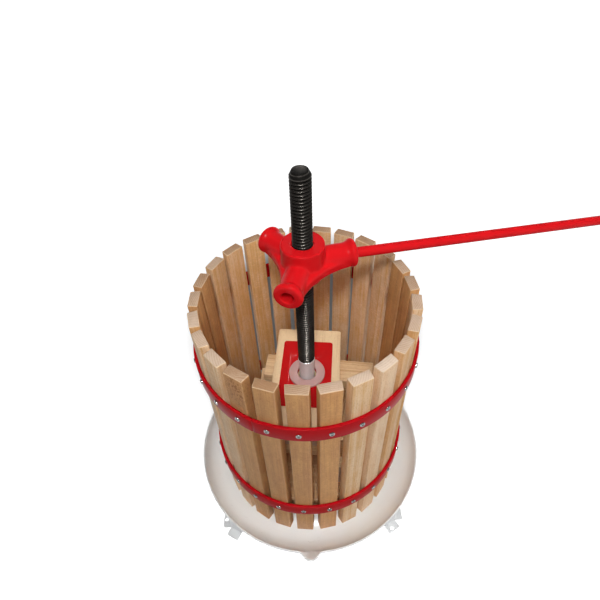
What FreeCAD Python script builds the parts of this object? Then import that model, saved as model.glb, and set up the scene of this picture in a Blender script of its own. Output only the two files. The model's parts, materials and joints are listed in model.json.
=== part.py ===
import FreeCAD, Part
import math
import os

from FreeCAD import Vector

# Fruit press with a slatted basket, a fixed spindle and a three-armed nut turned by a loose bar.
# Millimetres. The origin lies on the spindle's axis at floor level, +Z is up, the pouring lip points to -Y.

os.makedirs("parts", exist_ok=True)

# Heights above the floor
BASKET_Z = 127.0
REST_GAP = 0.2

# Basket: staves wider inside than outside, two flat hoops
STAVE_COUNT = 25
STAVE_START = -95.4
STAVE_INNER_R = 125.25
STAVE_OUTER_R = 137.5
STAVE_INNER_W = 26.5
STAVE_OUTER_W = 23.9
STAVE_H = 365.4
STAVE_EDGE = 0.9
STAVE_DRIFT = [0, .25, .2, .35, .35, .95, 1.35, 1.05, .3, .35, .6, .25, -.1,
               -.35, -.5, -.5, -.45, -.25, .2, .1, .25, -.2, -.1, -.55, 0]
HOOP_R = 138.05
HOOP_T = 4.0
HOOP_W = 24.0
HOOP_MID = {"upper": 292.5, "lower": 83.3}
HOOP_SEAM_AZ = {"upper": -117.0, "lower": 98.6}
HOOP_SEAM_W = 1.0
HOOP_SEAM_DEPTH = 0.5
SCREW_HEAD_R = 3.4
SCREW_HEAD_H = 1.9

# Tray: pressed dish with a raised middle and a pouring lip
TRAY_T = 1.5
TRAY_FLOOR_R = 149.0
TRAY_RIM_R = 178.0
TRAY_RIM_Z = 24.2
BEAD_OUT = 1.4
RIM_H = 3.2
PLATEAU_R = 119.5
PLATEAU_FOOT_R = 123.6
PLATEAU_H = 8.3
LIP_AZ = -92.0
LIP_TOP = {"rim": TRAY_RIM_R, "tip": 188.5, "tip_r": 13.0, "root_r": 10.5}
LIP_FOOT = {"rim": 144.0, "tip": 157.0, "tip_r": 7.5, "root_r": 6.0}

# Stand: three folded legs on a three-armed carrier
LEG_AZ = [90.0, -30.0, -150.0]
LEG_PLANE = 146.0
LEG_FLANGE = 22.0
LEG_T = 3.0
FOOT_OUT = 14.0
FOOT_HOLE_R = 3.5
FOOT_HOLE_PCR = 170.2
FOOT_HOLE_LAG = 5.4
CARRIER_ARM_W = 32.0
CARRIER_T = 6.0
CARRIER_REACH = 146.0
CARRIER_HUB_R = 34.0
CARRIER_TOP = BASKET_Z - REST_GAP - TRAY_T - 0.05
LEG_BOLT_R = [108.0, 132.0]

# Spindle, sleeve and the nut with its three sockets
SPINDLE_R = 11.2
SPINDLE_TOP = BASKET_Z + 532.4
SPINDLE_THREAD_END = BASKET_Z + 248.0
SPINDLE_CORE_R = 9.0
SPINDLE_NOSE_H = 5.5
SPINDLE_NOSE_R = 8.3
SLEEVE_R = 10.5
SLEEVE_BEAD_R = 11.35
HUB_TOP = BASKET_Z + 444.5
HUB_BOTTOM = BASKET_Z + 398.0
HUB_AXIS_Z = BASKET_Z + 419.0
HUB_BOSS_R = 24.4
HUB_COLLAR_R = 21.6
HUB_ARM_AZ = [-107.8, 12.2, 132.2]
HUB_ARM_END = 59.8
NECK_R = 13.2
BEAD_R = 16.3
WEB_TOP = HUB_AXIS_Z + 2.0
WEB_H = 14.5
WEB_MID_R = 28.0
WEB_EDGE = 5.0
SOCKET_R = 7.2
SOCKET_START = 31.0
BUSH_R = 13.0
BUSH_TOP = BASKET_Z + 438.0
HUB_MOUTH_R = 11.7
RUN_GAP = 0.05
BAR_R = 6.0
BAR_L = 400.0
BAR_SAG = 4.0
BAR_START = 31.5

# Pressing stack: two half discs, two layers of blocks, a bored board, a plate and a washer
LAYER = 50.0
BLOCK_W = 40.4
BLOCK_L = 168.5
BLOCK_EDGE = 1.2
DISC_R = 117.0
DISC_GAP = 1.0
DISC_HOLE_R = 19.0
DISC_TURN = -4.0
BOARD_W = 95.0
BOARD_L = 167.0
BOARD_HOLE_R = 13.0
BOARD_BEVEL = 6.0
HEAD_TURN = -6.5
PLATE_W = 72.0
PLATE_L = 111.5
PLATE_T = 3.4
PLATE_CORNER_R = 4.0
WASHER_R = 25.3
WASHER_HOLE_R = 13.25
WASHER_T = 3.5
STACK_Z = BASKET_Z - REST_GAP + PLATEAU_H + 0.2


def polar(r, az, z=0.0):
    a = math.radians(az)
    return Vector(r * math.cos(a), r * math.sin(a), z)


def turned(shape, az, centre=Vector(0, 0, 0)):
    out = shape.copy()
    out.rotate(centre, Vector(0, 0, 1), az)
    return out


def cylinder(r, z0, z1, centre=Vector(0, 0, 0)):
    return Part.makeCylinder(r, z1 - z0, Vector(centre.x, centre.y, z0))


def prism(points, z0, z1):
    wire = Part.makePolygon([Vector(x, y, z0) for x, y in points] + [Vector(*points[0], z0)])
    return Part.Face(wire).extrude(Vector(0, 0, z1 - z0))


def revolved(profile):
    """Solid of revolution about Z from (radius, height) corners."""
    pts = [Vector(r, 0, z) for r, z in profile]
    return Part.Face(Part.makePolygon(pts + [pts[0]])).revolve(Vector(0, 0, 0), Vector(0, 0, 1), 360)


def centred_block(length_x, length_y, z0, z1, edge):
    box = Part.makeBox(length_x, length_y, z1 - z0, Vector(-length_x / 2, -length_y / 2, z0))
    return box.makeChamfer(edge, box.Edges)


def upright_edges(shape):
    return [e for e in shape.Edges if abs(e.Vertexes[0].Z - e.Vertexes[-1].Z) > 1]


def save(name, shape):
    shape.exportStep("parts/%s.step" % name)


# Basket staves: a tapered section extruded upwards, its long and top edges eased

def stave(az):
    hi, ho = STAVE_INNER_W / 2, STAVE_OUTER_W / 2
    section = [(STAVE_INNER_R, -hi), (STAVE_OUTER_R, -ho), (STAVE_OUTER_R, ho), (STAVE_INNER_R, hi)]
    body = prism(section, BASKET_Z, BASKET_Z + STAVE_H)
    eased = [e for e in body.Edges if not all(abs(v.Z - BASKET_Z) < 0.1 for v in e.Vertexes)]
    return turned(body.makeChamfer(STAVE_EDGE, eased), az)


stave_az = [STAVE_START + k * 360.0 / STAVE_COUNT + STAVE_DRIFT[k] for k in range(STAVE_COUNT)]
for k, az in enumerate(stave_az):
    save("stave_%02d" % (k + 1), stave(az))


# Hoops: a flat strip bent round and butt-welded, the weld dressed to a shallow groove.
# A screw head sits on each stave; the shanks lie hidden in the wood.

for name, mid in HOOP_MID.items():
    z0, z1 = BASKET_Z + mid - HOOP_W / 2, BASKET_Z + mid + HOOP_W / 2
    outer_r = HOOP_R + HOOP_T
    hoop = cylinder(outer_r, z0, z1).cut(cylinder(HOOP_R, z0 - 1, z1 + 1))
    groove = Part.makeBox(2.0, HOOP_SEAM_W, HOOP_W + 2,
                          Vector(outer_r - HOOP_SEAM_DEPTH, -HOOP_SEAM_W / 2, z0 - 1))
    hoop = hoop.cut(turned(groove, HOOP_SEAM_AZ[name]))
    save(name + "_hoop", hoop)
    seat = Vector(outer_r, 0, BASKET_Z + mid)
    head = Part.makeCylinder(SCREW_HEAD_R, SCREW_HEAD_H, seat, Vector(1, 0, 0))
    save(name + "_hoop_screws", Part.makeCompound([turned(head, az) for az in stave_az]))


# Tray: outer dish less inner dish, each a bowl of revolution with a lofted pouring lip


def lip_points(size, inset, z):
    """Points of the lip's outline: where rim meets root, the root's middle, where root meets tip, the tip."""
    rim, tip_r, root = size["rim"] - inset, size["tip_r"] - inset, size["root_r"] + inset
    d = size["tip"] - size["tip_r"]
    a, b = rim + root, tip_r + root
    y = (a * a - b * b + d * d) / (2 * d)
    f = Vector(math.sqrt(a * a - y * y), y, z)
    c = Vector(0, d, z)
    p = Vector(f.x * rim / a, f.y * rim / a, z)
    q = c + (f - c) * (tip_r / b)
    return p, f - ((f - p) + (f - q)).normalize() * root, q, Vector(0, d + tip_r, z)


def mirror(v):
    return Vector(-v.x, v.y, v.z)


def lip_edges(size, inset, z):
    p, m, q, tip = lip_points(size, inset, z)
    return p, [Part.Arc(p, m, q).toShape(), Part.Arc(q, tip, mirror(q)).toShape(),
               Part.Arc(mirror(q), mirror(m), mirror(p)).toShape()]


def tongue(size, inset, z):
    """Outline of the lip, closed across the dish well inside the rim."""
    p, edges = lip_edges(size, inset, z)
    back = [mirror(p), Vector(-p.x * 0.7, p.y - 30, z), Vector(p.x * 0.7, p.y - 30, z), p]
    edges += [Part.makeLine(back[i], back[i + 1]) for i in range(3)]
    return turned(Part.Wire(edges), LIP_AZ - 90.0)


def rim_outline(inset, z):
    """Full rim: one large arc round the dish and the three arcs of the lip."""
    p, edges = lip_edges(LIP_TOP, inset, z)
    edges.append(Part.Arc(mirror(p), Vector(0, inset - TRAY_RIM_R, z), p).toShape())
    return turned(Part.Wire(edges), LIP_AZ - 90.0)


floor_z = BASKET_Z - REST_GAP
rim_z = BASKET_Z + TRAY_RIM_Z
wall_top = rim_z - RIM_H + 1.1


def dish_solid(inset, top):
    """Flat floor, curved wall up to the rim, and the lip; offset inwards by the inset."""
    run, rise = TRAY_RIM_R - BEAD_OUT - TRAY_FLOOR_R, wall_top - floor_z + TRAY_T
    wall = (run * run + rise * rise) / (2 * rise)
    z = floor_z - TRAY_T + inset
    c = Vector(TRAY_FLOOR_R, 0, floor_z - TRAY_T + wall)
    bend = math.asin(min(1.0, run / wall)) if inset == 0 else math.radians(86)
    on_arc = lambda a: c + Vector(math.sin(a), 0, -math.cos(a)) * (wall - inset)
    end = on_arc(bend)
    edges = [Part.makeLine(Vector(0, 0, z), Vector(TRAY_FLOOR_R, 0, z)),
             Part.Arc(Vector(TRAY_FLOOR_R, 0, z), on_arc(bend / 2), end).toShape()]
    if end.z < top - 0.01:
        edges.append(Part.makeLine(end, Vector(end.x, 0, top)))
        end = Vector(end.x, 0, top)
    edges += [Part.makeLine(end, Vector(0, 0, end.z)), Part.makeLine(Vector(0, 0, end.z), Vector(0, 0, z))]
    bowl = Part.Face(Part.Wire(edges)).revolve(Vector(0, 0, 0), Vector(0, 0, 1), 360)
    mouth = tongue(LIP_TOP, BEAD_OUT + inset, wall_top)
    lip = Part.makeLoft([tongue(LIP_FOOT, inset, z + 0.4), mouth], True, True)
    if inset:
        lip = lip.fuse(Part.Face(mouth).extrude(Vector(0, 0, top - wall_top)))
    return bowl.fuse(lip)


def raised_middle(inset, z0):
    """Low truncated cone with an eased shoulder."""
    foot, top = PLATEAU_FOOT_R - inset, PLATEAU_R - inset
    return revolved([(0, z0), (foot, z0), (foot, floor_z - inset), (top, floor_z + PLATEAU_H - 1.2 - inset),
                     (top - 1.4, floor_z + PLATEAU_H - inset), (0, floor_z + PLATEAU_H - inset)])


dish = dish_solid(0.0, wall_top).cut(dish_solid(TRAY_T, rim_z + 5))
dish = dish.fuse(raised_middle(0.0, floor_z - 1)).cut(raised_middle(TRAY_T, floor_z - TRAY_T - 1))
rim_in = BEAD_OUT + TRAY_T - 0.3
rim = Part.Face(rim_outline(0.0, rim_z - RIM_H)).extrude(Vector(0, 0, RIM_H))
rim = rim.cut(Part.Face(rim_outline(rim_in, rim_z - RIM_H - 1)).extrude(Vector(0, 0, RIM_H + 2)))
level = [e for e in rim.Edges if abs(e.Vertexes[0].Z - e.Vertexes[-1].Z) < 0.01]
rim = rim.makeChamfer(0.9, [e for e in level if e.Vertexes[0].Z > rim_z - 0.1])
tray = dish.fuse(rim).cut(cylinder(SPINDLE_CORE_R + 0.3, floor_z - 10, floor_z + 20))
save("tray", tray)

# Carrier under the tray: a boss with three flat arms, drilled for the legs

carrier = cylinder(CARRIER_HUB_R, CARRIER_TOP - CARRIER_T - 4, CARRIER_TOP)
for az in LEG_AZ:
    foot = Vector(0, -CARRIER_ARM_W / 2, CARRIER_TOP - CARRIER_T)
    arm = Part.makeBox(CARRIER_REACH, CARRIER_ARM_W, CARRIER_T, foot)
    arm = arm.makeFillet(8.0, [e for e in upright_edges(arm) if e.Vertexes[0].X > 50])
    for r in LEG_BOLT_R:
        arm = arm.cut(cylinder(3.3, CARRIER_TOP - CARRIER_T - 1, CARRIER_TOP + 1, Vector(r, 0, 0)))
    carrier = carrier.fuse(turned(arm, az))
boss_top = floor_z + PLATEAU_H - TRAY_T - 0.05
carrier = carrier.fuse(cylinder(22.0, CARRIER_TOP - 1, boss_top))
carrier = carrier.cut(cylinder(SPINDLE_CORE_R + 0.1, CARRIER_TOP - 20, boss_top + 1)).removeSplitter()
save("carrier", carrier)

# Legs: a strip folded to 120 degrees, with two foot tabs bent out at the floor
# and a tongue bent in under the carrier

leg_top = CARRIER_TOP - CARRIER_T - 0.05


def leg():
    upright = None
    for side in (-1, 1):
        along = math.tan(math.radians(30)) * LEG_PLANE
        s0, s1 = along - LEG_FLANGE, along
        inner_end = math.tan(math.radians(30)) * (LEG_PLANE - LEG_T)
        # flange in its own frame: X is the flange's outward normal
        pts = [(LEG_PLANE, s0), (LEG_PLANE, s1), (LEG_PLANE - LEG_T, inner_end), (LEG_PLANE - LEG_T, s0)]
        flange = prism([(x, y * -side) for x, y in pts], 0, CARRIER_TOP)
        toe = LEG_PLANE + FOOT_OUT
        tab_pts = [(LEG_PLANE - LEG_T, s0), (toe, s0), (toe, s1), (LEG_PLANE, s1), (LEG_PLANE - LEG_T, inner_end)]
        tab = prism([(x, y * -side) for x, y in tab_pts], 0, LEG_T)
        tab = tab.makeFillet(3.0, [e for e in upright_edges(tab) if e.Vertexes[0].X > toe - 0.5])
        piece = turned(flange.fuse(tab), side * 30.0)
        upright = piece if upright is None else upright.fuse(piece)
    ridge = (LEG_PLANE - LEG_T / 2) / math.cos(math.radians(30))
    corner = ridge - 16.0 * math.tan(math.radians(30))
    half = [(LEG_BOLT_R[0] - 12, 15), (corner - 8, 15), (corner, 16), (ridge, 0)]
    tongue = prism(half + [(x, -y) for x, y in reversed(half[:-1])], leg_top - LEG_T, leg_top)
    body = upright.fuse(tongue)
    for r in LEG_BOLT_R:
        body = body.cut(cylinder(3.3, leg_top - 10, leg_top + 5, Vector(r, 0, 0)))
    hole = polar(FOOT_HOLE_PCR, -FOOT_HOLE_LAG)
    body = body.cut(cylinder(FOOT_HOLE_R, -1, LEG_T + 1, hole))
    return body.removeSplitter()


one_leg = leg()
for name, az in zip(("leg_rear", "leg_right", "leg_left"), LEG_AZ):
    save(name, turned(one_leg, az))

# Fixings of the legs: hexagon bolts from below, tapped into the carrier's arms


def hexagon(across, z0, z1, centre=Vector(0, 0, 0)):
    r = across / math.sqrt(3)
    corners = [centre + polar(r, 60 * i) for i in range(6)]
    return prism([(c.x, c.y) for c in corners], z0, z1)


bolts = []
for az in LEG_AZ:
    for r in LEG_BOLT_R:
        c = Vector(r, 0, 0)
        head_z = leg_top - LEG_T
        bolt = hexagon(10.0, head_z - 4.0, head_z, c).fuse(cylinder(3.0, head_z - 1, CARRIER_TOP - 0.3, c))
        bolts.append(turned(bolt, az))
save("leg_bolts", Part.makeCompound(bolts))

# Spindle: plain core below, full diameter above with a tapered nose

spindle_bottom = CARRIER_TOP - CARRIER_T - 4 - 4 - 16 - 5
spindle = revolved([(0, spindle_bottom), (SPINDLE_CORE_R - 1, spindle_bottom),
                    (SPINDLE_CORE_R, spindle_bottom + 1), (SPINDLE_CORE_R, SPINDLE_THREAD_END),
                    (SPINDLE_R, SPINDLE_THREAD_END), (SPINDLE_R, SPINDLE_TOP - SPINDLE_NOSE_H),
                    (SPINDLE_NOSE_R, SPINDLE_TOP), (0, SPINDLE_TOP)])
save("spindle", spindle)

plateau_z = floor_z + PLATEAU_H
sleeve_top = SPINDLE_THREAD_END - 0.02
bore_r = SPINDLE_CORE_R + 0.1
sleeve = revolved([(bore_r, plateau_z + 0.05), (17.0, plateau_z + 0.05), (17.0, plateau_z + 2.5),
                   (SLEEVE_R + 0.8, plateau_z + 4.0), (SLEEVE_R, plateau_z + 6.0),
                   (SLEEVE_R, sleeve_top - 2.2), (SLEEVE_BEAD_R, sleeve_top - 1.8),
                   (SLEEVE_BEAD_R, sleeve_top - 0.3), (SLEEVE_BEAD_R - 0.3, sleeve_top), (bore_r, sleeve_top)])
save("spindle_sleeve", sleeve)

under = CARRIER_TOP - CARRIER_T - 4
foot_washer = cylinder(21.0, under - 4.05, under - 0.05).cut(cylinder(bore_r, under - 6, under + 1))
save("spindle_foot_washer", foot_washer)
nut_low, nut_high = under - 20.1, under - 4.1
corner_cones = revolved([(0, nut_low), (14.0, nut_low), (17.5, nut_low + 1.9), (17.5, nut_high - 1.9),
                         (14.0, nut_high), (0, nut_high)])
foot_nut = hexagon(27.0, nut_low, nut_high).common(corner_cones).cut(cylinder(bore_r, under - 30, under + 1))
save("spindle_foot_nut", foot_nut)

# Nut: a turned boss, three round necks that end in beads with blind sockets, and a web between the necks


def along_x(profile):
    """Solid of revolution about the arm's axis, which runs along X, from (distance, radius) corners."""
    solid = revolved([(r, x) for x, r in profile])
    solid.rotate(Vector(0, 0, 0), Vector(0, 1, 0), 90)
    solid.translate(Vector(0, 0, HUB_AXIS_Z))
    return solid


def web():
    """Plate with three hollow sides, rounded along them, that joins the necks at mid height."""
    reach, half = HUB_ARM_END - 8.0, NECK_R - 0.7
    z = WEB_TOP - WEB_H
    edges = []
    for i in range(3):
        start, end = HUB_ARM_AZ[i], HUB_ARM_AZ[i] + 120.0
        a = polar(reach, start, z) + polar(half, start + 90.0)
        b = polar(reach, end, z) - polar(half, end + 90.0)
        c = polar(reach, end, z) + polar(half, end + 90.0)
        edges += [Part.Arc(a, polar(WEB_MID_R, start + 60.0, z), b).toShape(), Part.makeLine(b, c)]
    plate = Part.Face(Part.Wire(edges)).extrude(Vector(0, 0, WEB_H))
    hollow = [e for e in plate.Edges if abs(e.Vertexes[0].Z - e.Vertexes[-1].Z) < 0.01 and e.Length > 50]
    return plate.makeFillet(WEB_EDGE, hollow)


def hub():
    body = revolved([(0, HUB_BOTTOM), (HUB_COLLAR_R - 1.2, HUB_BOTTOM), (HUB_COLLAR_R, HUB_BOTTOM + 1.2),
                     (HUB_COLLAR_R, HUB_BOTTOM + 6.0), (HUB_BOSS_R, HUB_BOTTOM + 12.0),
                     (HUB_BOSS_R, HUB_TOP - 1.2), (HUB_BOSS_R - 1.2, HUB_TOP), (0, HUB_TOP)])
    body = body.fuse(web())
    end = HUB_ARM_END
    neck = along_x([(0, 0), (0, NECK_R + 0.6), (end - 13.0, NECK_R), (end - 10.0, NECK_R + 0.4),
                    (end - 8.2, NECK_R + 1.4), (end - 6.8, BEAD_R - 0.7), (end - 5.2, BEAD_R),
                    (end - 3.2, BEAD_R), (end - 1.6, BEAD_R - 0.7), (end - 0.5, BEAD_R - 1.9),
                    (end, BEAD_R - 3.4), (end, 0)])
    socket = along_x([(SOCKET_START, 0), (SOCKET_START, SOCKET_R), (end - 0.6, SOCKET_R),
                      (end + 0.2, SOCKET_R + 0.8), (end + 0.2, 0)])
    for az in HUB_ARM_AZ:
        body = body.fuse(turned(neck, az))
    for az in HUB_ARM_AZ:
        body = body.cut(turned(socket, az))
    bore = revolved([(0, HUB_BOTTOM - 1), (BUSH_R + RUN_GAP, HUB_BOTTOM - 1), (BUSH_R + RUN_GAP, BUSH_TOP),
                     (HUB_MOUTH_R, BUSH_TOP), (HUB_MOUTH_R, HUB_TOP + 1), (0, HUB_TOP + 1)])
    return body.cut(bore)


save("hub_nut", hub())
bush = cylinder(BUSH_R, HUB_BOTTOM + 0.5, BUSH_TOP - 0.05)
bush = bush.cut(cylinder(SPINDLE_R + RUN_GAP, HUB_BOTTOM, HUB_TOP))
save("thread_bush", bush)

# Bar: round rod lying loose in its socket, its outer end a little lower

bar = revolved([(0, 0), (BAR_R - 0.8, 0), (BAR_R, 0.8), (BAR_R, BAR_L - 1.5), (BAR_R - 1.5, BAR_L),
                (0, BAR_L)])
bar.rotate(Vector(0, 0, 0), Vector(0, 1, 0), 90 + BAR_SAG)
bar.translate(Vector(BAR_START, 0, HUB_AXIS_Z + 0.95))
save("push_bar", turned(bar, HUB_ARM_AZ[1]))

# Pressing stack, from the bottom up


def half_disc(side):
    z0, z1 = STACK_Z, STACK_Z + LAYER - 0.2
    disc = cylinder(DISC_R, z0, z1)
    keep = Part.makeBox(300, 150, 200, Vector(-150, DISC_GAP if side > 0 else -150 - DISC_GAP, z0 - 50))
    half = disc.common(keep)
    rims = [e for e in half.Edges if abs(e.Vertexes[0].Z - e.Vertexes[-1].Z) < 0.01]
    half = half.makeChamfer(1.5, rims)
    half = half.cut(cylinder(DISC_HOLE_R, z0 - 1, z1 + 1))
    return turned(half, DISC_TURN)


save("disc_front", half_disc(-1))
save("disc_rear", half_disc(1))


def laid_block(along_x, offset_u, offset_v, turn, layer):
    """Block of the stack: offset_u along its own length, offset_v across it, turned about the spindle."""
    z0 = STACK_Z + layer * LAYER
    lx, ly = (BLOCK_L, BLOCK_W) if along_x else (BLOCK_W, BLOCK_L)
    block = centred_block(lx, ly, z0, z0 + LAYER - 0.2, BLOCK_EDGE)
    block.translate(Vector(offset_u, offset_v, 0) if along_x else Vector(offset_v, offset_u, 0))
    return turned(block, turn)


save("block_lower_left", laid_block(False, 1.5, -60.5, -3.6, 1))
save("block_lower_right", laid_block(False, -3.0, 58.0, -5.5, 1))
save("block_upper_rear", laid_block(True, 11.6, 49.6, -9.2, 2))
save("block_upper_front", laid_block(True, -3.0, -50.5, -7.0, 2))

board_z0 = STACK_Z + 3 * LAYER
board_z1 = board_z0 + LAYER - 0.05
board = centred_block(BOARD_W, BOARD_L, board_z0, board_z1, 1.2)
for side in (-1, 1):
    x = side * BOARD_W / 2
    outer, inner, above = x + side, x - side * BOARD_BEVEL, board_z1 + 1
    corners = [Vector(outer, -100, above), Vector(inner, -100, above), Vector(inner, -100, board_z1),
               Vector(outer, -100, board_z1 - BOARD_BEVEL * 0.55)]
    wedge = Part.Face(Part.makePolygon(corners + [corners[0]])).extrude(Vector(0, 200, 0))
    board = board.cut(wedge)
board.translate(Vector(-1.4, 1.0, 0))
board = turned(board, HEAD_TURN).cut(cylinder(BOARD_HOLE_R, board_z0 - 1, board_z1 + 1))
save("press_board", board)

plate_z0 = board_z1 + 0.05
plate = Part.makeBox(PLATE_W, PLATE_L, PLATE_T, Vector(-PLATE_W / 2 - 1.6, -PLATE_L / 2 + 2.2, plate_z0))
plate = plate.makeFillet(PLATE_CORNER_R, upright_edges(plate))
plate_z1 = plate_z0 + PLATE_T
plate = plate.makeChamfer(0.6, [e for e in plate.Edges if min(v.Z for v in e.Vertexes) > plate_z1 - 0.01])
plate = turned(plate, HEAD_TURN).cut(cylinder(BOARD_HOLE_R, plate_z0 - 1, plate_z0 + 9))
save("press_plate", plate)

washer_z0 = plate_z1 + 0.02
washer_z1 = washer_z0 + WASHER_T
washer = revolved([(WASHER_HOLE_R, washer_z0), (WASHER_R, washer_z0), (WASHER_R, washer_z1 - 0.8),
                   (WASHER_R - 0.8, washer_z1), (WASHER_HOLE_R + 0.6, washer_z1),
                   (WASHER_HOLE_R, washer_z1 - 0.6)])
save("thrust_washer", washer)
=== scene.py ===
"""Looks of a fruit press: slatted basket, dished tray, threaded spindle, three-armed cast nut."""

import json
import math

import bmesh
import bpy
from bpy.props import FloatProperty, FloatVectorProperty, IntProperty, PointerProperty
from mathutils import Matrix, Vector


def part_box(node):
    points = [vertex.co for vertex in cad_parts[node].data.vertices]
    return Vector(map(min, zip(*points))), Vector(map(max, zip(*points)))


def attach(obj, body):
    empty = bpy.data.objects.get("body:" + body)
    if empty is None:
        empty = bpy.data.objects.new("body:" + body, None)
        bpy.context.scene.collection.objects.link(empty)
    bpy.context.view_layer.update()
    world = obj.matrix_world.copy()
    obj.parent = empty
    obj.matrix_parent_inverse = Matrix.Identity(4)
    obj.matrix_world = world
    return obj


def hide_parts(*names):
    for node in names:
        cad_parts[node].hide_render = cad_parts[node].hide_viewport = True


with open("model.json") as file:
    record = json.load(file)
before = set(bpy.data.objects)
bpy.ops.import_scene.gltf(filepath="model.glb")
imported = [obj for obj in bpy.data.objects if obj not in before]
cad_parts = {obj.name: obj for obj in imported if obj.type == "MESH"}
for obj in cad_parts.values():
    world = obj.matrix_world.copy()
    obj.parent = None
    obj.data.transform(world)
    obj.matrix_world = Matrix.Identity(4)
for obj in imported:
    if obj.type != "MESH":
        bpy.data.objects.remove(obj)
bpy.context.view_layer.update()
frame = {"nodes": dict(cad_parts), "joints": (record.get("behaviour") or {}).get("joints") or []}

bl_info = {
    "name": "Fruit press",
    "version": (1, 0, 0),
    "blender": (4, 5, 0),
    "location": "View3D > Sidebar > Fruit press",
    "description": "Builds the visual pieces of a basket fruit press round its solid frame",
    "category": "Object",
}

MM = 0.001
TAU = 2 * math.pi
WHITE = (1.0, 1.0, 1.0)

# How near corners of the frame's triangles, and of a turned profile, count as one
SAME_CORNER = 2e-6
SAME_POLE = 1e-6

# Tone of each stave's faces and of its sawn ends, from pale, 0, to dark, 1, set stave by stave:
# partly the wood's own tone and partly painted light and shade, darker where a stave stood in
# shade and paler where it caught more light
STAVE_TONES_AND_PAINTED_LIGHT = (
    1.02, 0.80, 0.20, -0.06, 0.30, 0.44, 0.12, 0.72, 0.86, 0.20, 0.18, 0.22, 0.26,
    0.26, 0.32, 0.42, 0.36, 0.32, 0.92, 0.90, 0.50, 0.08, 0.14, 0.86, 0.94)
END_TONES_AND_PAINTED_LIGHT = (
    0.68, 0.40, 0.22, 0.00, 0.38, 0.36, 0.46, 0.60, 0.58, 0.72, 0.80, 0.80, 0.72,
    0.72, 0.84, 0.84, 0.82, 0.48, 0.76, 0.54, 0.34, 0.36, 0.34, 0.76, 0.98)
KNOTTY_STAVE = 23
BLOCK_END_TONE = 0.35

# Distance along the grain from one piece's figure to the next, and width of a growth ring
FIGURE_STEP = 0.73
RING = 0.0024

# Features per metre across, through and along the grain
GRAIN = {
    "wander": (11.0, 11.0, 3.5),
    "fibre": (1000.0, 1000.0, 60.0),
    "pore": (780.0, 780.0, 260.0),
    "streak": (420.0, 420.0, 9.0),
    "ray": (240.0, 900.0, 620.0),
    "cloud": (75.0, 75.0, 30.0),
    "bark": (300.0, 300.0, 230.0),
}

# What the wood's colour is multiplied by, the colours of sawn ends, and the pale colour of eased
# edges, which is partly wear and partly painted highlight
PINKER, PORE = (1.0, 0.92, 0.88), (0.62, 0.48, 0.36)
RAY, BARK = (1.16, 1.20, 1.25), (0.62, 0.50, 0.42)
SAWN_PALE, SAWN_DARK, EDGE_WEAR_AND_HIGHLIGHT = (0.79, 0.63, 0.49), (0.41, 0.225, 0.11), (0.84, 0.64, 0.42)

# Along one turn of the thread: how far up the pitch, and how far out from root, 0, to crest, 1
THREAD_STATIONS = ((0.0, 0.0), (0.30, 0.0), (0.41, 0.80), (0.46, 0.96), (0.52, 1.0), (0.70, 1.0),
                   (0.77, 0.94), (0.86, 0.72))

# Polish of the last two stations, on the crest's upper edge
POLISH = {0.77: 0.45, 0.86: 1.0}

# Cross recess of a screw: half an arm's width, its reach and depth, and its foot against its mouth
CROSS_WIDTH, CROSS_REACH, CROSS_DEPTH, CROSS_FOOT = 0.55 * MM, 1.9 * MM, 1.2 * MM, 0.55

# Sleeve below its rim: radius, and height above its foot, in millimetres
SLEEVE_SHAPE = ((9.1, 0.0), (17.0, 0.0), (17.0, 2.5), (11.4, 4.2), (10.5, 6.2))

# Dip, against its edges, that makes a corner hollow, and what each step leaves of that
HOLLOW_DIP, HOLLOW_FADE = 0.045, 0.92

# Middle and half sizes of the painted shadow on the floor behind the press, which deepens the real
# one
PAINTED_SHADOW_AT, PAINTED_SHADOW_SIZE = (0.005, 0.40), (0.32, 0.42)


# Settings

def length(name, millimetres, description):
    return FloatProperty(name=name, description=description, default=millimetres * MM, min=0.0,
                         unit="LENGTH")


def colour(name, rgb, description):
    return FloatVectorProperty(name=name, description=description, default=rgb, size=3, min=0.0,
                               max=1.0, subtype="COLOR")


def count(name, number, description):
    return IntProperty(name=name, description=description, default=number, min=1)


def share(name, value, description):
    return FloatProperty(name=name, description=description, default=value, min=0.0, max=1.0,
                         subtype="FACTOR")


def angle(name, degrees, description):
    return FloatProperty(name=name, description=description, default=math.radians(degrees),
                         unit="ROTATION")


def power(name, watts, description):
    return FloatProperty(name=name, description=description, default=watts, min=0.0, unit="POWER")


def spot(name, metres, description):
    return FloatVectorProperty(name=name, description=description, default=metres, size=3,
                               subtype="TRANSLATION")


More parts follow.
